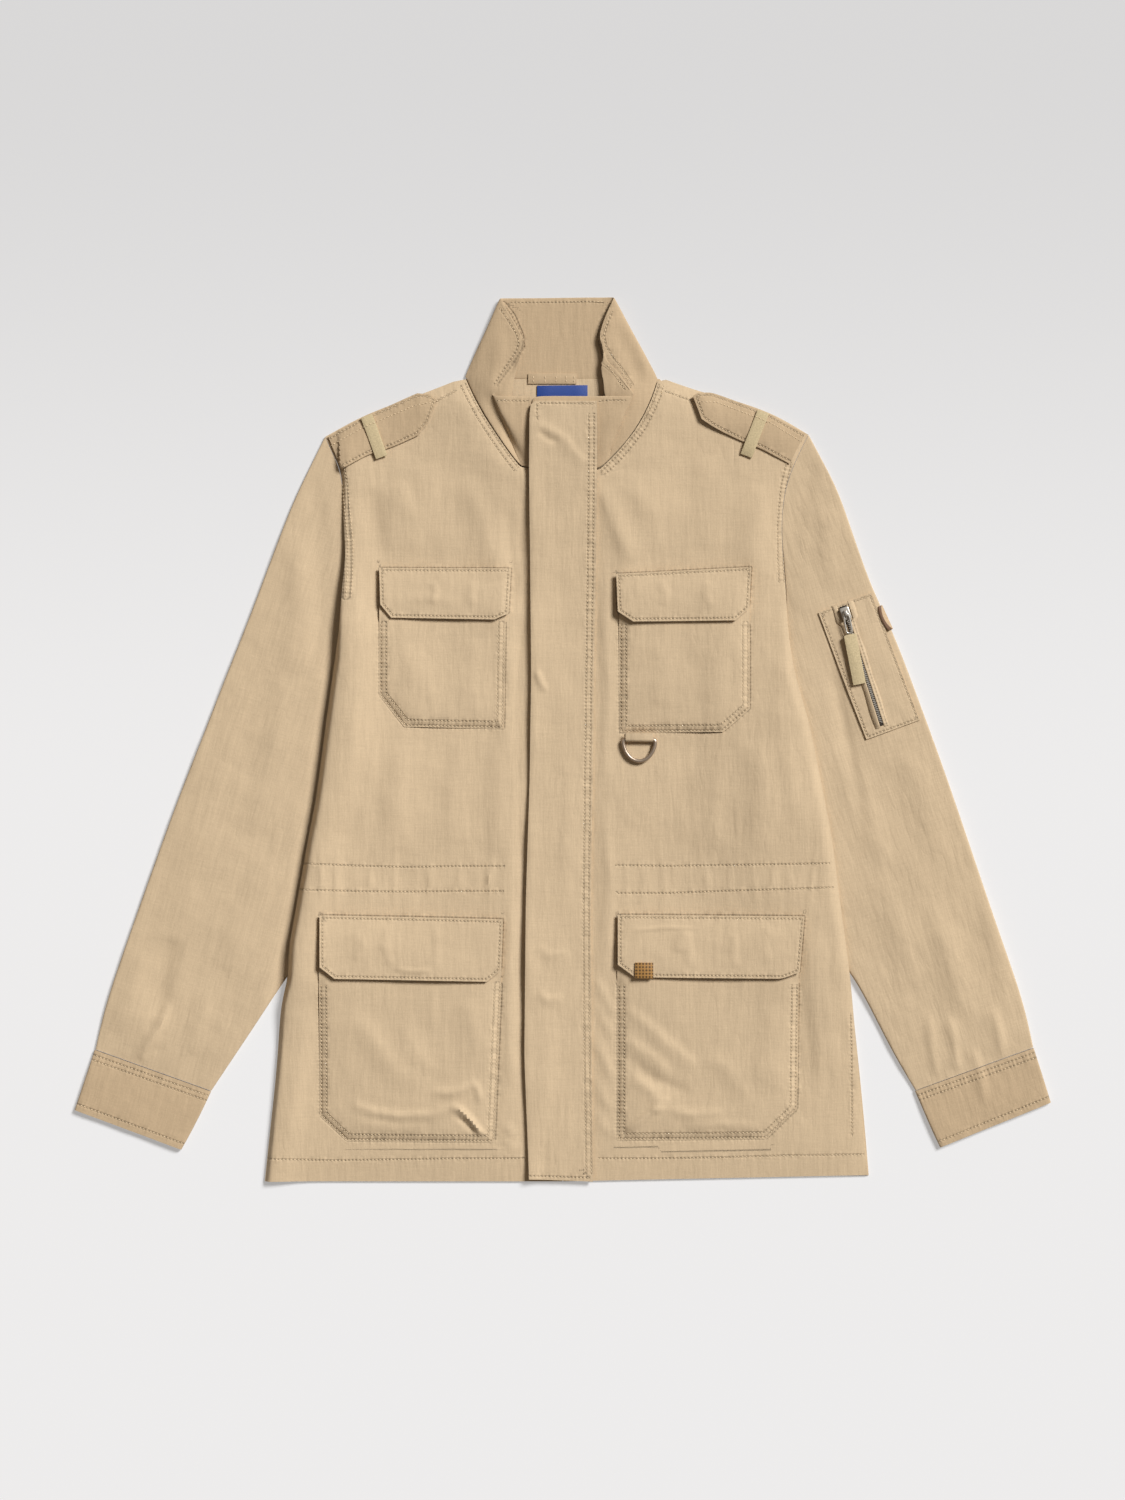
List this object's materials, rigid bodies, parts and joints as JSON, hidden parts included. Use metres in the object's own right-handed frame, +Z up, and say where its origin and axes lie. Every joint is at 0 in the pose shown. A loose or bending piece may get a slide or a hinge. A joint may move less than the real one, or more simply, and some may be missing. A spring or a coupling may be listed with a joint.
{
  "type": "safari jacket",
  "caption": "Cotton safari jacket laid out flat with its stand collar up, with flapped patch pockets, epaulettes, a storm flap, a zipped sleeve pocket and a D-ring.",
  "frame": {"origin": "on the surface the jacket lies on, below the middle of its outline", "axes": "+Z up from the surface, +Y from the hem to the collar, +X towards the wearer's left sleeve"},
  "size_m": [0.9269, 0.8396, 0.0177],
  "materials": {
    "cloth": "mid-weight cotton twill, washed, matt",
    "webbing": "ribbed greenish khaki cotton tape",
    "label": "plain woven satin tape, blue",
    "tab_leather": "smooth tan leather, plain",
    "badge": "dark brown suede finish, plain",
    "zip_metal": "antique nickel",
    "ring_metal": "dark nickel wire",
    "zip_tape": "dark woven zip tape"
  },
  "bodies": {
    "jacket": {"back_panel": "cloth", "front_right": "cloth", "front_left": "cloth", "placket": "cloth", "collar": "cloth", "sleeve_right": "cloth", "sleeve_left": "cloth", "cuff_right": "cloth", "cuff_left": "cloth", "chest_pocket_right": "cloth", "chest_pocket_left": "cloth", "chest_flap_right": "cloth", "chest_flap_left": "cloth", "lower_pocket_right": "cloth", "lower_pocket_left": "cloth", "lower_flap_right": "cloth", "lower_flap_left": "cloth", "epaulette_right": "cloth", "epaulette_left": "cloth", "sleeve_pocket": "cloth", "hanger_loop": "cloth", "epaulette_loop_right": "webbing", "epaulette_loop_left": "webbing", "dring_webbing": "webbing", "neck_label": "label", "flap_tab": "tab_leather", "sleeve_badge": "badge", "zip_slider": "zip_metal", "zip_bridge": "zip_metal", "zip_tape": "zip_tape"},
    "dring": {"dring": "ring_metal"},
    "zip_pull": {"zip_pull_link": "zip_metal", "zip_pull_tab": "webbing"}
  },
  "joints": [
    {"name": "dring_swing", "type": "hinge", "parent": "jacket", "child": "dring", "pos_m": [0.0724, 0.0006, 0.00876], "axis": [-1, 0, 0], "range_deg": [0, 150]},
    {"name": "zip_pull_swing", "type": "hinge", "parent": "jacket", "child": "zip_pull", "pos_m": [0.2678, 0.1194, 0.01359], "axis": [-0.9808, -0.195, 0], "range_deg": [0, 165]}
  ]
}
